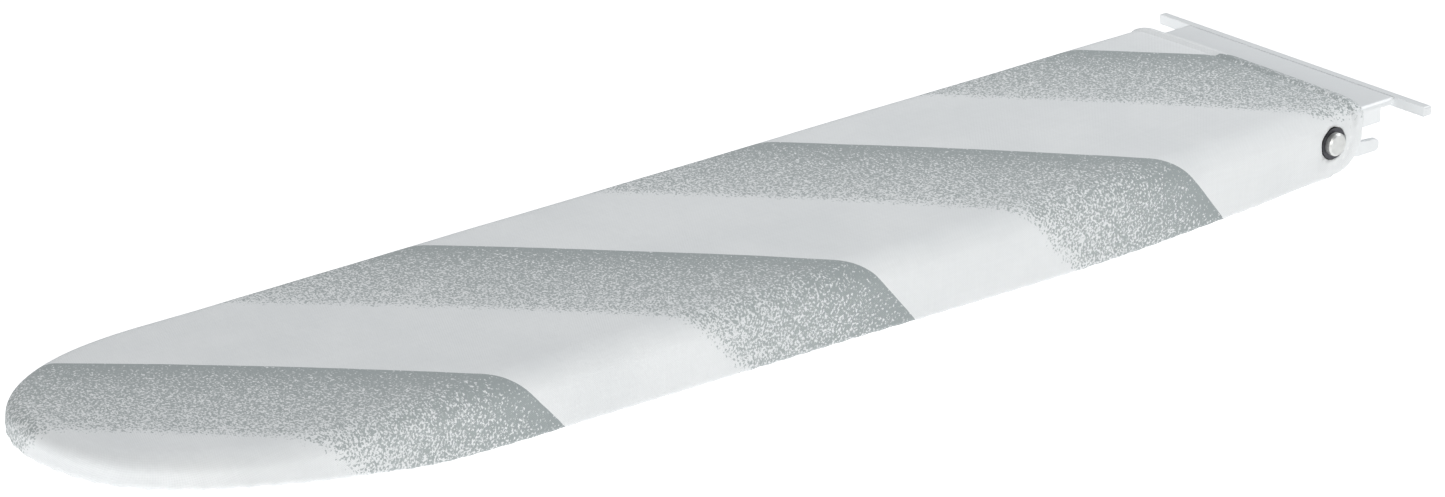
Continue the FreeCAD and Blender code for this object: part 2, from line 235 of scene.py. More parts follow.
def weave(nodes, links, vector, yarn):
    split = addNode(nodes, "ShaderNodeSeparateXYZ")
    links.new(vector, split.inputs[0])
    turn = 2 * math.pi / yarn
    across = math2(nodes, links, "SINE", math2(nodes, links, "MULTIPLY", split.outputs[0], turn))
    along = math2(nodes, links, "SINE", math2(nodes, links, "MULTIPLY", split.outputs[1], turn))
    checks = math2(nodes, links, "MULTIPLY", across, along)
    return split, rangeOf(nodes, links, checks, -1.0, 1.0, 0.0, 1.0, smooth=False)


def slubs(nodes, links, vector, yarn):
    stretched = []
    for scale in ((0.12, 1.0, 1.0), (1.0, 0.12, 1.0)):
        mapping = addNode(nodes, "ShaderNodeMapping", {}, {"Scale": scale})
        links.new(vector, mapping.inputs["Vector"])
        stretched.append(noiseOf(nodes, links, mapping.outputs[0], 0.55 / yarn, 2.0))
    return math2(nodes, links, "ADD", stretched[0], stretched[1])


def makePrintMaterial():
    m = printCloth
    material, nodes, links, shader = newMaterial("printedCotton")
    flat = placeOf(nodes, "UV")
    split, checks = weave(nodes, links, flat, m["yarn"])
    threads = slubs(nodes, links, flat, m["yarn"])
    wander = noiseOf(nodes, links, flat, 60.0, 3.0)
    forward = math2(nodes, links, "SUBTRACT", m["firstEdge"], split.outputs[1])
    place = math2(nodes, links, "DIVIDE", forward, m["span"])
    steeper = math2(nodes, links, "MULTIPLY_ADD", place, m["slope"][2], m["slope"][1])
    slope = math2(nodes, links, "MULTIPLY_ADD", steeper, place, m["slope"][0])
    shaky = math2(nodes, links, "MULTIPLY_ADD", wander, m["wander"], m["firstEdge"])
    ahead = math2(nodes, links, "SUBTRACT", shaky, split.outputs[1])
    slanted = math2(nodes, links, "MULTIPLY_ADD", split.outputs[0], slope, ahead)
    run = math2(nodes, links, "DIVIDE", slanted, m["span"])
    wider = math2(nodes, links, "MULTIPLY_ADD", run, m["stripes"][1], m["stripes"][0])
    share = math2(nodes, links, "FRACT", math2(nodes, links, "MULTIPLY", wider, run))
    cells = addNode(nodes, "ShaderNodeTexVoronoi", {}, {"Scale": m["speck"], "Randomness": 1.0})
    links.new(flat, cells.inputs["Vector"])
    tones = addNode(nodes, "ShaderNodeSeparateXYZ")
    links.new(cells.outputs["Color"], tones.inputs[0])
    blotches = noiseOf(nodes, links, flat, m["speck"] * 0.55, 2.5, 0.6)
    middle = 0.5 - m["blotchTone"] / 2 - m["speckTone"] / 2      # keeps the mean at a half
    softer = math2(nodes, links, "MULTIPLY_ADD", blotches, m["blotchTone"], middle)
    mottled = math2(nodes, links, "MULTIPLY_ADD", tones.outputs[0], m["speckTone"], softer)
    bare = rampOf(nodes, links, share, m["bareLevels"])
    wide = rangeOf(nodes, links, math2(nodes, links, "ABSOLUTE", split.outputs[0]), *m["cornerWide"])
    behind = rangeOf(nodes, links, split.outputs[1], *m["cornerBehind"])
    corner = math2(nodes, links, "MULTIPLY", wide, behind)
    lost = math2(nodes, links, "MULTIPLY_ADD", corner, m["cornerLoss"], bare)
    level = math2(nodes, links, "SUBTRACT", mottled, lost)
    inked = rangeOf(nodes, links, level, -m["inkBlur"], m["inkBlur"])
    depth = rampOf(nodes, links, share, m["inkDepths"])
    ink = mixColour(nodes, links, depth, m["inkPale"], m["ink"])
    cloudy = rangeOf(nodes, links, noiseOf(nodes, links, flat, 24.0, 4.0), 0.35, 0.65)
    ground = mixColour(nodes, links, cloudy, m["groundShade"], m["ground"])
    printed = mixColour(nodes, links, inked, ground, ink)
    lift = math2(nodes, links, "MULTIPLY_ADD", checks, 0.10, 0.93)
    shade = math2(nodes, links, "MULTIPLY_ADD", threads, 0.05, lift)
    shaded = mixColour(nodes, links, 1.0, printed, shade, "MULTIPLY")
    links.new(shaded, shader.inputs["Base Color"])
    shader.inputs["Roughness"].default_value = 0.82
    shader.inputs["Sheen Weight"].default_value = 0.22
    shader.inputs["Sheen Roughness"].default_value = 0.6
    shader.inputs["Specular IOR Level"].default_value = 0.25
    height = math2(nodes, links, "MULTIPLY_ADD", threads, 0.6, checks)
    bumpOf(nodes, links, shader, height, m["yarnHeight"], 0.8)
    return material


plainCloth = {"yarn": 0.0008, "light": (0.74, 0.77, 0.79), "dark": (0.64, 0.67, 0.69)}
feltLook = {"fibre": 900.0, "light": (0.80, 0.80, 0.77), "dark": (0.66, 0.66, 0.63)}
threadLook = {"twist": 0.0011, "light": (0.90, 0.91, 0.91), "dark": (0.70, 0.72, 0.73)}
elasticLook = {"rib": 0.0010, "light": (0.88, 0.88, 0.86), "dark": (0.60, 0.60, 0.58)}


def makeClothMaterial(name, look, where="UV"):
    material, nodes, links, shader = newMaterial(name)
    vector = placeOf(nodes, where)
    checks = weave(nodes, links, vector, look["yarn"])[1]
    threads = slubs(nodes, links, vector, look["yarn"])
    height = math2(nodes, links, "MULTIPLY_ADD", threads, 0.6, checks)
    tone = rangeOf(nodes, links, height, 0.2, 1.5)
    links.new(mixColour(nodes, links, tone, look["dark"], look["light"]), shader.inputs["Base Color"])
    shader.inputs["Roughness"].default_value = 0.85
    shader.inputs["Sheen Weight"].default_value = 0.2
    bumpOf(nodes, links, shader, height, 0.00010, 0.9)
    return material


def makeFeltMaterial():
    material, nodes, links, shader = newMaterial("pressedFelt")
    vector = placeOf(nodes, "Object")
    fine = noiseOf(nodes, links, vector, feltLook["fibre"], 5.0, 0.7)
    coarse = noiseOf(nodes, links, vector, feltLook["fibre"] / 9, 3.0)
    height = math2(nodes, links, "ADD", fine, coarse)
    tone = rangeOf(nodes, links, height, 0.7, 1.3)
    colour = mixColour(nodes, links, tone, feltLook["dark"], feltLook["light"])
    links.new(colour, shader.inputs["Base Color"])
    shader.inputs["Roughness"].default_value = 0.95
    shader.inputs["Sheen Weight"].default_value = 0.5
    bumpOf(nodes, links, shader, height, 0.0004, 0.8)
    return material


def makeRibbedMaterial(name, look, spacing, direction):
    material, nodes, links, shader = newMaterial(name)
    split = addNode(nodes, "ShaderNodeSeparateXYZ")
    links.new(placeOf(nodes, "Object"), split.inputs[0])
    scaled = math2(nodes, links, "MULTIPLY", split.outputs[direction], 2 * math.pi / spacing)
    lean = math2(nodes, links, "MULTIPLY_ADD", split.outputs[2], math.pi / spacing, scaled)
    ribs = rangeOf(nodes, links, math2(nodes, links, "SINE", lean), -1.0, 1.0)
    links.new(mixColour(nodes, links, ribs, look["dark"], look["light"]), shader.inputs["Base Color"])
    shader.inputs["Roughness"].default_value = 0.7
    shader.inputs["Sheen Weight"].default_value = 0.15
    bumpOf(nodes, links, shader, ribs, 0.00012, 0.8)
    return material


enamelLook = {"colour": (0.790, 0.812, 0.825), "dull": (0.745, 0.768, 0.782), "peel": 420.0}
panLook = {"colour": (0.640, 0.660, 0.670), "dull": (0.585, 0.605, 0.615), "peel": 380.0}
pinLook = {"colour": (0.70, 0.71, 0.70), "dull": (0.52, 0.53, 0.52), "ring": 0.00034}
zincLook = {"colour": (0.60, 0.62, 0.63), "dull": (0.44, 0.46, 0.48), "spangle": 260.0}
springLook = {"colour": (0.10, 0.10, 0.11), "dull": (0.045, 0.045, 0.05), "spangle": 900.0}
nylonLook = {"colour": (0.78, 0.77, 0.71), "dull": (0.70, 0.69, 0.63), "cloud": 150.0}


def makeEnamelMaterial(name, look):
    material, nodes, links, shader = newMaterial(name)
    vector = placeOf(nodes, "Object")
    peel = noiseOf(nodes, links, vector, look["peel"], 2.0)
    patches = rangeOf(nodes, links, noiseOf(nodes, links, vector, 35.0, 5.0, 0.6), 0.38, 0.62)
    scuffs = rangeOf(nodes, links, noiseOf(nodes, links, vector, 240.0, 6.0, 0.75), 0.62, 0.70)
    tint = mixColour(nodes, links, patches, look["dull"], look["colour"])
    worn = math2(nodes, links, "MULTIPLY", scuffs, 0.25)
    links.new(mixColour(nodes, links, worn, tint, look["dull"]), shader.inputs["Base Color"])
    links.new(rangeOf(nodes, links, patches, 0.0, 1.0, 0.46, 0.36), shader.inputs["Roughness"])
    shader.inputs["Coat Weight"].default_value = 0.15
    shader.inputs["Coat Roughness"].default_value = 0.3
    bumpOf(nodes, links, shader, peel, 0.00006, 0.5)
    return material


def makePlatedMaterial(name, look, roughLow, roughHigh):
    material, nodes, links, shader = newMaterial(name)
    vector = placeOf(nodes, "Object")
    cells = addNode(nodes, "ShaderNodeTexVoronoi", {}, {"Scale": look["spangle"]})
    links.new(vector, cells.inputs["Vector"])
    cloud = noiseOf(nodes, links, vector, look["spangle"] / 6, 3.0)
    tone = math2(nodes, links, "MULTIPLY_ADD", cells.outputs["Distance"], 0.7,
                 math2(nodes, links, "MULTIPLY", cloud, 0.5))
    links.new(mixColour(nodes, links, tone, look["dull"], look["colour"]), shader.inputs["Base Color"])
    links.new(rangeOf(nodes, links, tone, 0.1, 0.9, roughLow, roughHigh), shader.inputs["Roughness"])
    shader.inputs["Metallic"].default_value = 1.0
    bumpOf(nodes, links, shader, tone, 0.00003, 0.5)
    return material


def makePinMaterial():
    # turned end: fine rings about the pin's own axis
    material, nodes, links, shader = newMaterial("turnedSteel")
    toAxis = {"Location": (0, -hinge.y, -hinge.z), "Scale": (0, 1, 1)}
    centred = addNode(nodes, "ShaderNodeMapping", {}, toAxis)
    links.new(placeOf(nodes, "Object"), centred.inputs["Vector"])
    length = addNode(nodes, "ShaderNodeVectorMath", {"operation": "LENGTH"})
    links.new(centred.outputs[0], length.inputs[0])
    turns = math2(nodes, links, "MULTIPLY", length.outputs["Value"], 2 * math.pi / pinLook["ring"])
    rings = rangeOf(nodes, links, math2(nodes, links, "SINE", turns), -1.0, 1.0)
    stain = noiseOf(nodes, links, placeOf(nodes, "Object"), 500.0, 4.0)
    tone = math2(nodes, links, "MULTIPLY_ADD", rings, 0.3, stain)
    colour = mixColour(nodes, links, tone, pinLook["dull"], pinLook["colour"])
    links.new(colour, shader.inputs["Base Color"])
    links.new(rangeOf(nodes, links, tone, 0.2, 1.0, 0.50, 0.38), shader.inputs["Roughness"])
    shader.inputs["Metallic"].default_value = 0.85
    bumpOf(nodes, links, shader, rings, 0.00002, 0.5)
    return material


def makeNylonMaterial():
    material, nodes, links, shader = newMaterial("naturalNylon")
    cloud = noiseOf(nodes, links, placeOf(nodes, "Object"), nylonLook["cloud"], 4.0)
    colour = mixColour(nodes, links, cloud, nylonLook["dull"], nylonLook["colour"])
    links.new(colour, shader.inputs["Base Color"])
    shader.inputs["Roughness"].default_value = 0.42
    shader.inputs["Subsurface Weight"].default_value = 0.08
    bumpOf(nodes, links, shader, cloud, 0.00008, 0.4)
    return material


def makeFloorMaterial():
    material, nodes, links, shader = newMaterial("paleFloor")
    soft = noiseOf(nodes, links, placeOf(nodes, "Object"), 0.6, 2.0)
    tone = mixColour(nodes, links, soft, lighting["floorDark"], lighting["floorLight"])
    links.new(tone, shader.inputs["Base Color"])
    shader.inputs["Roughness"].default_value = 0.9
    shader.inputs["Emission Color"].default_value = (1, 1, 1, 1)
    shader.inputs["Emission Strength"].default_value = lighting["floorGlow"]
    return material


board = {
    "pinHalfWidth": 0.0552,
    "noseDepth": 0.080,
    "edgeWide": 0.0095,          # rounding of the top into the sides, across and down
    "edgeTall": 0.0070,
    "noseEdgeWide": 0.0068,      # tighter round the nose
    "noseEdgeTall": 0.0056,
    "noseFullness": 2.25,        # 2 is a plain ellipse
    "noseLead": 0.03,            # the side changes into the nose from this far behind the nose's curve
    "tipTrail": 0.01,            # to this far behind its tip
    "rearCorner": 0.0145,        # side's lower rear corner, behind and below the pin
    "cornerDepth": 0.0126,
    "slopeLow": 0.0035,          # the side's rear edge leans back between these heights
    "slopeHigh": 0.0070,
    # lower edge: forward of the pin, and below it
    "lowerEdge": ((0.0, 0.0127), (0.045, 0.0145), (0.105, 0.0159), (0.165, 0.0150), (0.225, 0.0135),
                  (0.320, 0.0116), (0.388, 0.0098), (0.430, 0.0041), (0.460, 0.0005), (0.500, -0.0010),
                  (0.530, -0.0012)),
    "crown": 0.0006,
}
boardLength = hinge.y - coverLow.y
rearReach = coverHigh.y - hinge.y
shoulderHalfWidth = coverHigh.x
topHeight = coverHigh.z - hinge.z


def smooth(value, low, high):
    share = min(max((value - low) / (high - low), 0.0), 1.0)
    return share * share * (3 - 2 * share)


def lowerEdge(y):
    # height of the board's lower edge, from the pin's axis
    b = board
    corner = b["rearCorner"]
    if y > corner:
        return b["slopeLow"] + (b["slopeHigh"] - b["slopeLow"]) * (y - corner) / (rearReach - corner)
    if y > 0:
        return -b["cornerDepth"] * math.sqrt(1 - (y / corner) ** 2)
    places = b["lowerEdge"]
    i = max(k for k in range(len(places) - 1) if places[k][0] <= -y)
    (x1, d1), (x2, d2) = places[i], places[i + 1]
    x0, d0 = places[i - 1] if i else (-x2, d2)
    x3, d3 = places[i + 2] if i + 2 < len(places) else (2 * x2 - x1, 2 * d2 - d1)
    t = (-y - x1) / (x2 - x1)
    m1 = (d2 - d0) / (x2 - x0) * (x2 - x1)
    m2 = (d3 - d1) / (x3 - x1) * (x2 - x1)
    return -(d1 + m1 * t + (3 * (d2 - d1) - 2 * m1 - m2) * t * t + (2 * (d1 - d2) + m1 + m2) * t ** 3)


def rearDistance(y, z):
    # how far a point of the side or top is from the cover's rear edge
    b = board
    if z < 0:
        if y < 0:
            return 1.0
        return b["rearCorner"] * (1 - math.hypot(y / b["rearCorner"], z / b["cornerDepth"]))
    lean = min(max((z - b["slopeLow"]) / (b["slopeHigh"] - b["slopeLow"]), 0.0), 1.0)
    return b["rearCorner"] + (rearReach + cover["rearProud"] - b["rearCorner"]) * lean - y


def outlineStations(inset, rearY, counts):
    # stations round the board, rear right to rear left: edge point, outward way, spine point
    b = board
    across = shoulderHalfWidth - inset
    deep = b["noseDepth"] - inset
    centreY = b["noseDepth"] - boardLength
    taper = (shoulderHalfWidth - b["pinHalfWidth"]) / -centreY
    rearPart = [rearY - (rearY - b["rearCorner"]) * i / counts["lean"] for i in range(counts["lean"])]
    quarter = [math.pi / 2 * i / counts["corner"] for i in range(counts["corner"])]
    rearPart += [b["rearCorner"] * math.cos(angle) for angle in quarter]
    if rearY < b["rearCorner"]:
        rearPart = [rearY]
    start = rearPart[-1] if rearY < b["rearCorner"] else 0.0
    first = 1 if rearY < 0 else 0
    sidePart = [start + (centreY - start) * i / counts["side"] for i in range(first, counts["side"])]
    side = []
    outward = Vector((1, taper, 0)).normalized()
    for y in rearPart + sidePart:
        side.append((Vector((across + taper * (centreY - y), y, 0)), outward, Vector((0, y, 0))))
    nose = []
    power = 2 / b["noseFullness"]
    wayPower = 2 - power
    for i in range(counts["nose"] + 1):
        angle = math.pi * i / counts["nose"]
        x, y = math.cos(angle), math.sin(angle)
        wide = across * math.copysign(abs(x) ** power, x)
        point = Vector((wide, centreY - deep * abs(y) ** power, 0))
        way = Vector((deep * math.copysign(abs(x) ** wayPower, x), -across * abs(y) ** wayPower, 0))
        nose.append((point, way.normalized(), Vector((0, centreY, 0))))
    mirrorSide = []
    for point, way, spine in reversed(side):
        mirrorSide.append((Vector((-point.x, point.y, 0)), Vector((-way.x, way.y, 0)), spine))
    return side + nose + mirrorSide


def edgeProfile(wide, tall, drop, rows):
    # the cloth's way over the rounded edge and down the side: out, down, tilt of its face, length
    last = math.acos(max(1 - drop / tall, 0.0))
    fine = []
    for i in range(17):
        angle = last * i / 16
        tilt = math.atan2(math.sin(angle) / wide, math.cos(angle) / tall)
        fine.append((wide * math.sin(angle), tall * (1 - math.cos(angle)), tilt))
    if drop > tall:
        fine.append((wide, drop, math.pi / 2))
    lengths = [0.0]
    for a, b in zip(fine, fine[1:]):
        lengths.append(lengths[-1] + math.hypot(b[0] - a[0], b[1] - a[1]))
    profile = []
    k = 0
    for i in range(rows):
        length = lengths[-1] * i / (rows - 1)
        while k < len(fine) - 2 and lengths[k + 1] < length:
            k += 1
        share = (length - lengths[k]) / (lengths[k + 1] - lengths[k])
        profile.append([a + (b - a) * share for a, b in zip(fine[k], fine[k + 1])] + [length])
    return profile


def placeGrid(bm, points, flats, uvLayer):
    # a grid of columns and rows, laid on the points; returns its vertices
    columns, rows = len(points), len(points[0])
    grid = bmesh.ops.create_grid(bm, x_segments=columns - 1, y_segments=rows - 1, size=1.0)["verts"]
    where = {}
    for vert in grid:
        i = round((vert.co.x + 1) / 2 * (columns - 1))
        j = round((vert.co.y + 1) / 2 * (rows - 1))
        where[vert] = (i, j)
    for face in {f for v in grid for f in v.link_faces}:
        face.smooth = True
        for loop in face.loops:
            i, j = where[loop.vert]
            loop[uvLayer].uv = flats[i][j]
    for vert, (i, j) in where.items():
        vert.co = points[i][j]
    return grid


def finishMesh(name, bm, material):
    mesh = bpy.data.meshes.new(name)
    bm.to_mesh(mesh)
    bm.free()
    mesh.materials.append(material)
    piece = bpy.data.objects.new(name, mesh)
    bpy.context.scene.collection.objects.link(piece)
    return piece


def applyModifiers(piece):
    bpy.context.view_layer.update()
    mesh = bpy.data.meshes.new_from_object(piece.evaluated_get(bpy.context.evaluated_depsgraph_get()))
    piece.modifiers.clear()
    piece.data = mesh


cover = {
    "counts": {"lean": 8, "corner": 16, "side": 220, "nose": 120},
    "topRows": 22,
    "skirtRows": 20,
    "turnRows": 5,
    "lipRows": 9,
    "turnRadius": 0.0016,        # where the cloth turns under the pan's rim
    "lipReach": 0.0105,
    "lipShort": 0.0028,          # beside the bracket, which the lip has to clear
    "lipChange": (0.030, 0.040),
    "wall": 0.0005,
    "gather": 0.00048,
    "gatherPitch": 0.0082,
    "sag": 0.00020,
    "rearProud": 0.0006,
    "rearWide": 0.0062,          # the top rounds down to its rear edge
    "rearDrop": 0.0032,
    "rearPinch": 0.0008,         # and the side rounds in
    "bandWidth": 0.0068,         # folded hem along the rear edge
    "bandRise": 0.00070,
    "seamDip": 0.00040,
    "rollRadius": 0.00035,
    "rollSteps": 6,
    "rollBack": 0.0008,
    "slackWaves": (22, 13),      # slow unevenness of the top: waves per metre, across and along
    "creaseWaves": (55, 40),
    "creaseShare": 0.4,
    "bandSide": 0.80,            # on the side, the hem band's width, rise and seam against the top's
    "bandSideRise": 0.40,
    "seamSide": 0.45,
    "bandSoft": 0.0010,
    "bandFade": 0.004,
    "seamWidth": 0.0007,
    "gatherFrom": (0.012, 0.04), # forward of the pin
    "gatherDepth": 0.6,          # gathers start this far above the rim, in shares of the turned rows
    "gatherDrift": (2.4, 28),    # their uneven pitch: how much, and how often per metre
    "gatherFine": 210,           # small wrinkles per metre on top of them
    "gatherSide": 0.8,
    "gatherNose": 0.9,
    "pucker": 0.00016,
    "puckerSpokes": 6,
    "puckerFade": 0.006,
    "puckerReach": 0.03,
    "holeRadius": 0.0058,
    "holeSegments": 48,
}


def noseShare(y):
    # 0 along the side, 1 at the nose tip
    b = board
    return smooth(-y, boardLength - b["noseDepth"] - b["noseLead"], boardLength - b["tipTrail"])


def edgeSize(y):
    # how wide and tall the rounding is
    b = board
    share = noseShare(y)
    return (b["edgeWide"] + (b["noseEdgeWide"] - b["edgeWide"]) * share,
            b["edgeTall"] + (b["noseEdgeTall"] - b["edgeTall"]) * share)


def coverSection(station):
    # one line of cloth, from the spine over the edge, down the side and under the rim
    c = cover
    edge, outward, spine = station
    bottom = lowerEdge(edge.y)
    wide, tall = edgeSize(edge.y)
    start = edge - outward * wide
    points, flats, ways = [], [], []
    for i in range(c["topRows"]):
        place = spine.lerp(start, (i / c["topRows"]) ** 0.85)
        points.append(Vector((place.x, place.y, topHeight)))
        flats.append(place)
        ways.append(Vector((0, 0, 1)))
    drop = topHeight - bottom - c["turnRadius"]
    for out, down, angle, total in edgeProfile(wide, tall, drop, c["skirtRows"]):
        points.append(start + outward * out + Vector((0, 0, topHeight - down)))
        flats.append(start + outward * total)
        ways.append(outward * math.sin(angle) + Vector((0, 0, math.cos(angle))))
    reach = c["lipShort"] + (c["lipReach"] - c["lipShort"]) * smooth(-edge.y, *c["lipChange"])
    turn = math.pi - angle
    steps = [(c["turnRadius"] * turn / c["turnRows"], turn / c["turnRows"])] * c["turnRows"]
    steps += [((reach - c["turnRadius"]) / c["lipRows"], 0.0)] * c["lipRows"]
    place, length = points[-1], total
    for stride, bend in steps:
        angle += bend
        heading = angle - bend / 2
        place = place + (outward * math.cos(heading) - Vector((0, 0, math.sin(heading)))) * stride
        length += stride
        points.append(place)
        flats.append(start + outward * length)
        ways.append(outward * math.sin(angle) + Vector((0, 0, math.cos(angle))))
    return points, flats, ways


def dressCover(point, flat, way, depth, run):
    # crown, slack, rear hem band and gathers, as a push along the cloth's own outward way
    c = cover
    top = max(way.z, 0.0)
    across = min(abs(point.x) / shoulderHalfWidth, 1.0)
    push = board["crown"] * top * (1 - across * across)
    slackX, slackY = c["slackWaves"]
    creaseX, creaseY = c["creaseWaves"]
    push += c["sag"] * top * noise.noise(Vector((point.x * slackX, point.y * slackY, 1.7)))
    push += c["sag"] * c["creaseShare"] * noise.noise(Vector((flat.x * creaseX, flat.y * creaseY, 4.2)))
    behind = max(rearDistance(point.y, point.z), 0.0)
    rounded = 1 - math.sqrt(max(1 - max(1 - behind / c["rearWide"], 0.0) ** 2, 0.0))
    push -= rounded * (c["rearPinch"] + (c["rearDrop"] - c["rearPinch"]) * top)
    width = c["bandWidth"] * (c["bandSide"] + (1 - c["bandSide"]) * top)
    fade = 1.0 if point.z > 0 else smooth(point.y, 0.0, c["bandFade"])
    band = 1 - smooth(behind, width - c["bandSoft"], width)
    push += c["bandRise"] * band * (c["bandSideRise"] + (1 - c["bandSideRise"]) * top) * fade
    seam = math.exp(-((behind - width) / c["seamWidth"]) ** 2)
    push -= c["seamDip"] * seam * (c["seamSide"] + (1 - c["seamSide"]) * top) * fade
    drift, often = c["gatherDrift"]
    phase = 2 * math.pi * run / c["gatherPitch"] + drift * noise.noise(Vector((run * often, 0.3, 0.9)))
    ripple = 0.5 + 0.5 * math.sin(phase)
    fine = noise.noise(Vector((run * c["gatherFine"], depth * 3, 2.1)))
    ripple = ripple * 0.75 + 0.5 * max(fine, 0.0)
    strength = c["gather"] * (c["gatherSide"] + c["gatherNose"] * noseShare(point.y))
    strength *= smooth(depth, -c["gatherDepth"], c["gatherDepth"])
    push += strength * ripple * smooth(-point.y, *c["gatherFrom"])
    reach = math.hypot(point.y, point.z) - c["holeRadius"]
    if reach < c["puckerReach"] and top < 0.5:
        spoke = math.sin(c["puckerSpokes"] * math.atan2(point.z, point.y) + 1.1)
        push += c["pucker"] * spoke * math.exp(-max(reach, 0.0) / c["puckerFade"])
    return push


def coverGrid():
    c = cover
    stations = outlineStations(0.0, rearReach + c["rearProud"] - c["rollRadius"], c["counts"])
    columns, flatColumns, wayColumns = [], [], []
    run = 0.0
    last = stations[0][0]
    for station in stations:
        run += (station[0] - last).length
        last = station[0]
        points, flats, ways = coverSection(station)
        underRow = c["topRows"] + c["skirtRows"]
        dressed = []
        for j, (point, flat, way) in enumerate(zip(points, flats, ways)):
            depth = (j - underRow) / (c["turnRows"] + c["lipRows"])
            dressed.append(point + way * dressCover(point, flat, way, depth, run))
        columns.append(dressed)
        flatColumns.append(flats)
        wayColumns.append(ways)
    rear = rollHem(columns[0], columns[1], flatColumns[0], wayColumns[0])
    far = rollHem(columns[-1], columns[-2], flatColumns[-1], wayColumns[-1])
    columns = rear[0][::-1] + columns + far[0]
    flatColumns = rear[1][::-1] + flatColumns + far[1]
    return columns, flatColumns


def rollHem(column, inner, flats, ways):
    # the rear edge turned over, and in again under the cloth
    c = cover
    steps = []
    for i in range(1, c["rollSteps"] + 1):
        angle = math.pi * i / c["rollSteps"]
        steps.append((math.sin(angle), 1 - math.cos(angle), 0.0))
    steps += [(0.0, 2.0, c["rollBack"] * i / 2) for i in (1, 2)]
    frames = []
    for j, point in enumerate(column):
        along = (column[min(j + 1, len(column) - 1)] - column[max(j - 1, 0)]).normalized()
        back = point - inner[j]
        back = (back - along * back.dot(along)).normalized()
        face = along.cross(back).normalized()
        frames.append((back, face if face.dot(ways[j]) + face.y > 0 else -face))
    rolled, flatRolled = [], []
    for out, deep, forward in steps:
        line = []
        for point, (back, face) in zip(column, frames):
            shift = back * (out * c["rollRadius"] - forward) - face * deep * c["rollRadius"]
            line.append(point + shift)
        rolled.append(line)
        flatRolled.append([flat + Vector((0, c["rollRadius"] * deep + forward, 0)) for flat in flats])
    return rolled, flatRolled


def makeCover(material):
    c = cover
    columns, flats = coverGrid()
    bm = bmesh.new()
    uvLayer = bm.loops.layers.uv.new("flatCut")
    points = [[hinge + p for p in line] for line in columns]
    placeGrid(bm, points, [[(f.x, f.y) for f in line] for line in flats], uvLayer)
    bmesh.ops.remove_doubles(bm, verts=bm.verts, dist=0.00002)
    bmesh.ops.recalc_face_normals(bm, faces=bm.faces)
    topFace = max(bm.faces, key=lambda f: f.calc_center_median().z)
    if topFace.normal.z < 0:
        bmesh.ops.reverse_faces(bm, faces=bm.faces)
    piece = finishMesh("coverCloth", bm, material)
    solid = piece.modifiers.new("wall", "SOLIDIFY")
    solid.thickness = c["wall"]
    solid.offset = -1.0
    applyModifiers(piece)
    cutter = makeCutter("holeCutter", c["holeRadius"], c["holeSegments"])
    cut = piece.modifiers.new("pinHole", "BOOLEAN")
    cut.operation = "DIFFERENCE"
    cut.solver = "EXACT"
    cut.object = cutter
    applyModifiers(piece)
    bpy.data.objects.remove(cutter)
    return piece


def makeCutter(name, radius, segments):
    bm = bmesh.new()
    # a plain rod along the pin's axis, longer than the board is wide
    bmesh.ops.create_cone(bm, cap_ends=True, segments=segments, depth=0.3,
                          radius1=radius, radius2=radius)
    bmesh.ops.rotate(bm, verts=bm.verts, cent=(0, 0, 0), matrix=Matrix.Rotation(math.pi / 2, 3, "Y"))
    bmesh.ops.translate(bm, verts=bm.verts, vec=hinge)
    mesh = bpy.data.meshes.new(name)
    bm.to_mesh(mesh)
    bm.free()
    cutter = bpy.data.objects.new(name, mesh)
    bpy.context.scene.collection.objects.link(cutter)
    return cutter


felt = {
    "counts": {"lean": 4, "corner": 8, "side": 90, "nose": 60},
    "topRows": 9,
    "skirtRows": 11,
    "coverGap": 0.0008,          # under the cover's face
    "skirt": 0.00085,
    "thick": 0.0020,
    "rearShort": 0.0082,         # stops at the rear hem
    "rimShort": 0.0009,
    "innerRadius": 0.0030,       # the pan's own bend
}


def feltLayer(inset, height, radius=None):
    points, flats = [], []
    for edge, outward, spine in outlineStations(inset, rearReach - felt["rearShort"], felt["counts"]):
        wide, tall = (radius, radius) if radius else (size - inset for size in edgeSize(edge.y))
        start = edge - outward * wide
        line = []
        for i in range(felt["topRows"]):
            share = i / felt["topRows"]
            place = spine.lerp(start, share)
            line.append(hinge + Vector((place.x, place.y, height)))
        drop = height - lowerEdge(edge.y) - felt["rimShort"]
        for out, down, *_ in edgeProfile(wide, tall, drop, felt["skirtRows"]):
            line.append(hinge + start + outward * out + Vector((0, 0, height - down)))
        points.append(line)
        flats.append([(p.x, p.y) for p in line])
    return points, flats


def makeFelt(material):
    f = felt
    bm = bmesh.new()
    uvLayer = bm.loops.layers.uv.new("flatCut")
    gap = f["coverGap"]
    outer = feltLayer(gap, topHeight - gap)
    inner = feltLayer(gap + f["skirt"], topHeight - gap - f["thick"], f["innerRadius"])
    placeGrid(bm, *outer, uvLayer)
    placeGrid(bm, *inner, uvLayer)
    bmesh.ops.remove_doubles(bm, verts=bm.verts, dist=0.00002)
    rim = [e for e in bm.edges if e.is_boundary]
    bmesh.ops.bridge_loops(bm, edges=rim)
    bmesh.ops.recalc_face_normals(bm, faces=bm.faces)
    piece = finishMesh("feltPad", bm, material)
    cutter = makeCutter("feltCutter", cover["holeRadius"], cover["holeSegments"])
    cut = piece.modifiers.new("pinHole", "BOOLEAN")
    cut.operation = "DIFFERENCE"
    cut.solver = "EXACT"
    cut.object = cutter
    applyModifiers(piece)
    bpy.data.objects.remove(cutter)
    return piece


hem = {
    "counts": {"lean": 2, "corner": 4, "side": 150, "nose": 110},
    "ring": 14,
    "startForward": 0.0365,
    "inset": 0.0060,             # middle of the casing, in from the cover's side
    "width": 0.0060,
    "height": 0.0021,
    "lift": 0.0013,
    "gather": 0.00042,
    "elasticWidth": 0.0030,
    "elasticHeight": 0.0009,
    "elasticShow": 0.0035,       # how far its ends stand out of the casing
}


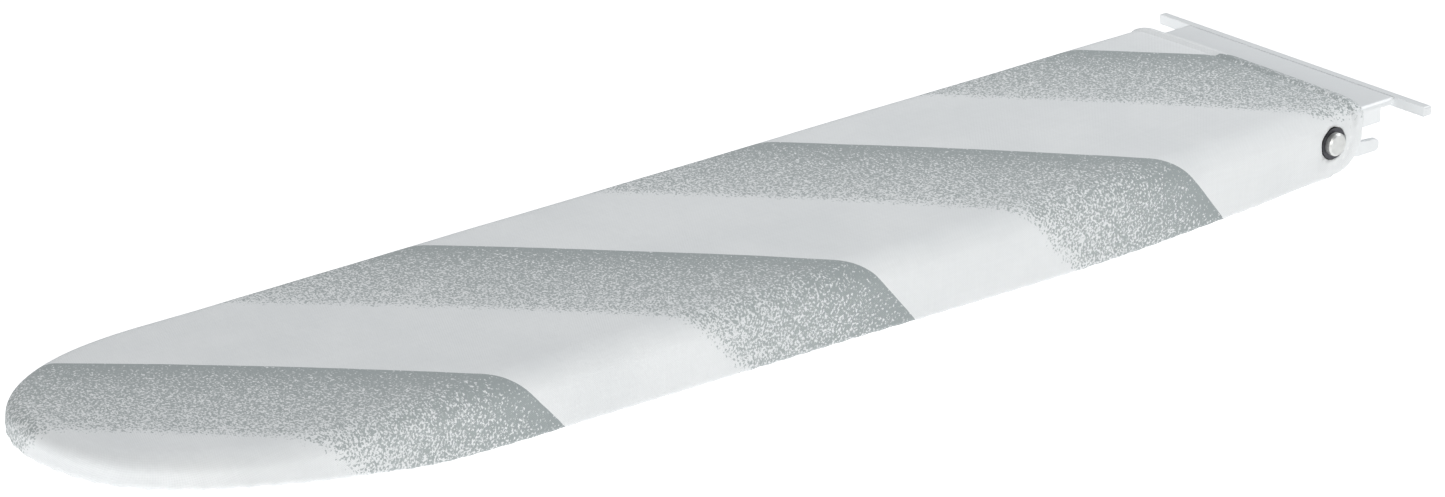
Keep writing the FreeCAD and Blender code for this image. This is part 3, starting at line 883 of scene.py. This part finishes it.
def ringSweep(name, material, width, height, rearY, gather):
    # a flattened tube that follows the board's outline under the rim
    h = hem
    bm = bmesh.new()
    uvLayer = bm.loops.layers.uv.new("along")
    points, flats = [], []
    run = 0.0
    stations = outlineStations(h["inset"], rearY, h["counts"])
    last = stations[0][0]
    for edge, outward, _ in stations:
        run += (edge - last).length
        last = edge
        drift = 3 * noise.noise(Vector((run * 30, 5.5, 0)))
        wave = math.sin(2 * math.pi * run / cover["gatherPitch"] + drift)
        middle = hinge + edge + Vector((0, 0, lowerEdge(edge.y) + h["lift"]))
        line, flatLine = [], []
        for i in range(h["ring"] + 1):
            angle = 2 * math.pi * i / h["ring"]
            grown = 1 + gather * (wave + noise.noise(Vector((run * 160, angle, 3.1))))
            out = width / 2 * math.copysign(abs(math.cos(angle)) ** 0.7, math.cos(angle)) * grown
            up = height / 2 * math.copysign(abs(math.sin(angle)) ** 0.7, math.sin(angle)) * grown
            line.append(middle + outward * out + Vector((0, 0, up)))
            flatLine.append((run, i / h["ring"] * 2 * (width + height)))
        points.append(line)
        flats.append(flatLine)
    placeGrid(bm, points, flats, uvLayer)
    bmesh.ops.remove_doubles(bm, verts=bm.verts, dist=0.00001)
    bmesh.ops.holes_fill(bm, edges=[e for e in bm.edges if e.is_boundary], sides=0)
    bmesh.ops.recalc_face_normals(bm, faces=bm.faces)
    return finishMesh(name, bm, material)


stitch = {
    "length": 0.0026,
    "gap": 0.0011,
    "thick": 0.00034,
    "sink": 0.00006,
    "rearInset": 0.0062,         # from the cover's rear edge
    "rearShort": 0.0006,         # and a little more across the top
    "underInset": 0.0020,
    "underDrop": 0.0006,
}


def addStitch(bm, place, along, normal):
    across = normal.cross(along).normalized()
    shape = bmesh.ops.create_uvsphere(bm, u_segments=6, v_segments=4, radius=0.5)["verts"]
    turn = Matrix((along.normalized(), across, normal)).transposed().to_4x4()
    size = Matrix.Diagonal((stitch["length"], stitch["thick"] * 1.25, stitch["thick"], 1))
    bmesh.ops.transform(bm, verts=shape, matrix=Matrix.Translation(place) @ turn @ size)


def stitchAlong(bm, tree, path, normalWay):
    # stitches at even steps along a line, dropped on to the cloth
    step = stitch["length"] + stitch["gap"]
    carried = step / 2
    for a, b in zip(path, path[1:]):
        reach = (b - a).length
        while carried < reach:
            start = a.lerp(b, carried / reach)
            hit = tree.find_nearest(start)
            if hit[0] is not None:
                normal = hit[1] if hit[1].dot(normalWay(start)) > 0 else -hit[1]
                along = (b - a) - normal * (b - a).dot(normal)
                addStitch(bm, hit[0] - normal * stitch["sink"], along, normal)
            carried += step
        carried -= reach


def clothTree(piece):
    bm = bmesh.new()
    bm.from_mesh(piece.data)
    tree = BVHTree.FromBMesh(bm)
    bm.free()
    return tree


def rearSeamPath(inset):
    # across the top of the rear hem, then down each side and round behind the pin
    b = board
    half = b["pinHalfWidth"]
    radius = b["rearCorner"] - inset
    path = [Vector((half, radius * 0.55, -b["cornerDepth"] + 0.001))]
    for degrees in range(-55, 1, 11):
        angle = math.radians(degrees)
        path.append(Vector((half, radius * math.cos(angle), radius * math.sin(angle) * 0.95)))
    topY = rearReach + cover["rearProud"] - inset - stitch["rearShort"]
    for degrees in range(0, 91, 15):
        angle = math.radians(degrees)
        lean = smooth(degrees, 0, 60)
        x = half - b["edgeWide"] * (1 - math.cos(angle))
        z = topHeight - b["edgeTall"] * (1 - math.sin(angle))
        path.append(Vector((x, radius + (topY - radius) * lean, z)))
    path += [Vector((-p.x, p.y, p.z)) for p in reversed(path)]
    return [hinge + p for p in path]


def makeRearStitches(tree, material):
    bm = bmesh.new()
    stitchAlong(bm, tree, rearSeamPath(stitch["rearInset"]), lambda p: Vector((p.x * 3, 0, 1)))
    return finishSmooth("rearStitches", bm, material)


def makeUnderStitches(tree, material):
    bm = bmesh.new()
    path = []
    stations = outlineStations(stitch["underInset"], -hem["startForward"], hem["counts"])
    for edge, *_ in stations:
        path.append(hinge + edge + Vector((0, 0, lowerEdge(edge.y) - stitch["underDrop"])))
    stitchAlong(bm, tree, path, lambda p: Vector((0, 0, -1)))
    return finishSmooth("hemStitches", bm, material)


def finishSmooth(name, bm, material):
    for face in bm.faces:
        face.smooth = True
    return finishMesh(name, bm, material)


weld = {"beads": 3, "length": 0.016, "ripple": 0.0012, "radius": 0.0011, "shape": (0.8, 1.25, 0.75)}
plateUnder = 0.0   # the seat face is the frame's origin


def makeWelds(material):
    # short runs of overlapping ripples where the plate meets the bar, on the underside
    bm = bmesh.new()
    seamY = barLow.y
    half = plateHigh.x - weld["length"]
    for bead in range(weld["beads"]):
        middle = -half + 2 * half * bead / (weld["beads"] - 1)
        ripples = int(weld["length"] / weld["ripple"])
        for i in range(ripples):
            x = middle + (i - ripples / 2) * weld["ripple"]
            swell = 1 + 0.18 * noise.noise(Vector((x * 900, bead, 0)))
            size = weld["radius"] * swell
            shape = bmesh.ops.create_uvsphere(bm, u_segments=10, v_segments=6, radius=size)
            bmesh.ops.scale(bm, verts=shape["verts"], vec=weld["shape"])
            place = Vector((x, seamY - weld["radius"] * 0.2, plateUnder + weld["radius"] * 0.1))
            bmesh.ops.translate(bm, verts=shape["verts"], vec=place)
    return finishSmooth("barWelds", bm, material)


makeCamera()
for light in ("key", "fill", "top"):
    settings = [lighting[light + what] for what in ("Place", "Size", "Power", "Colour")]
    makeLight(light + "Light", *settings)
world = bpy.data.worlds.new("softRoom")
bpy.context.scene.world = world
world.use_nodes = True
world.node_tree.nodes["Background"].inputs["Color"].default_value = (*lighting["worldColour"], 1)
world.node_tree.nodes["Background"].inputs["Strength"].default_value = lighting["world"]

bm = bmesh.new()
bmesh.ops.create_grid(bm, x_segments=1, y_segments=1, size=lighting["floorSize"] / 2)
bmesh.ops.translate(bm, verts=bm.verts, vec=(0, 0, hinge.z - lighting["floorDrop"]))
floor = finishMesh("floor", bm, makeFloorMaterial())
print("camera, lights and floor made")

enamel = makeEnamelMaterial("greyEnamel", enamelLook)
panEnamel = makeEnamelMaterial("panEnamel", panLook)
turned = makePinMaterial()
zinc = makePlatedMaterial("zincPlate", zincLook, 0.28, 0.48)
spring = makePlatedMaterial("springSteel", springLook, 0.25, 0.42)
nylon = makeNylonMaterial()
finishes = {
    "bracket_plate": enamel, "cross_bar": enamel, "board_pan": panEnamel,
    "hinge_pin": turned, "spacer_tube": zinc,
    "snap_ring_left": spring, "snap_ring_right": spring,
    "friction_washer_left": nylon, "friction_washer_right": nylon,
    "pin_bush_left": nylon, "pin_bush_right": nylon,
    "hinge_cheek_left": zinc, "hinge_cheek_right": zinc,
    "cheek_rivets_left": zinc, "cheek_rivets_right": zinc,
    "rear_cross_channel": zinc, "channel_rivets": zinc,
}
for node, material in finishes.items():
    data = frame["nodes"][node].data
    data.materials.clear()
    data.materials.append(material)
print("metal and plastic finished")

coverPiece = makeCover(makePrintMaterial())
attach(coverPiece, "board")
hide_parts("cover", "rear_hem")
print("cover made", len(coverPiece.data.polygons), "faces")

feltPiece = makeFelt(makeFeltMaterial())
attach(feltPiece, "board")
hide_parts("felt_pad")
print("felt made")

hemCloth = makeClothMaterial("hemCotton", plainCloth)
hemPiece = ringSweep("hemCasing", hemCloth, hem["width"], hem["height"], -hem["startForward"],
                     hem["gather"] / hem["height"])
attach(hemPiece, "board")
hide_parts("lower_hem")
elasticCloth = makeRibbedMaterial("wovenElastic", elasticLook, elasticLook["rib"], 1)
elasticPiece = ringSweep("hemElastic", elasticCloth, hem["elasticWidth"], hem["elasticHeight"],
                         hem["elasticShow"] - hem["startForward"], 0.0)
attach(elasticPiece, "board")
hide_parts("hem_elastic")
print("lower hem made")

thread = makeRibbedMaterial("whiteThread", threadLook, threadLook["twist"], 0)
tree = clothTree(coverPiece)
rearStitches = makeRearStitches(tree, thread)
underStitches = makeUnderStitches(tree, thread)
for piece in (rearStitches, underStitches):
    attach(piece, "board")
print("stitches made")

welds = makeWelds(enamel)
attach(welds, "bracket")
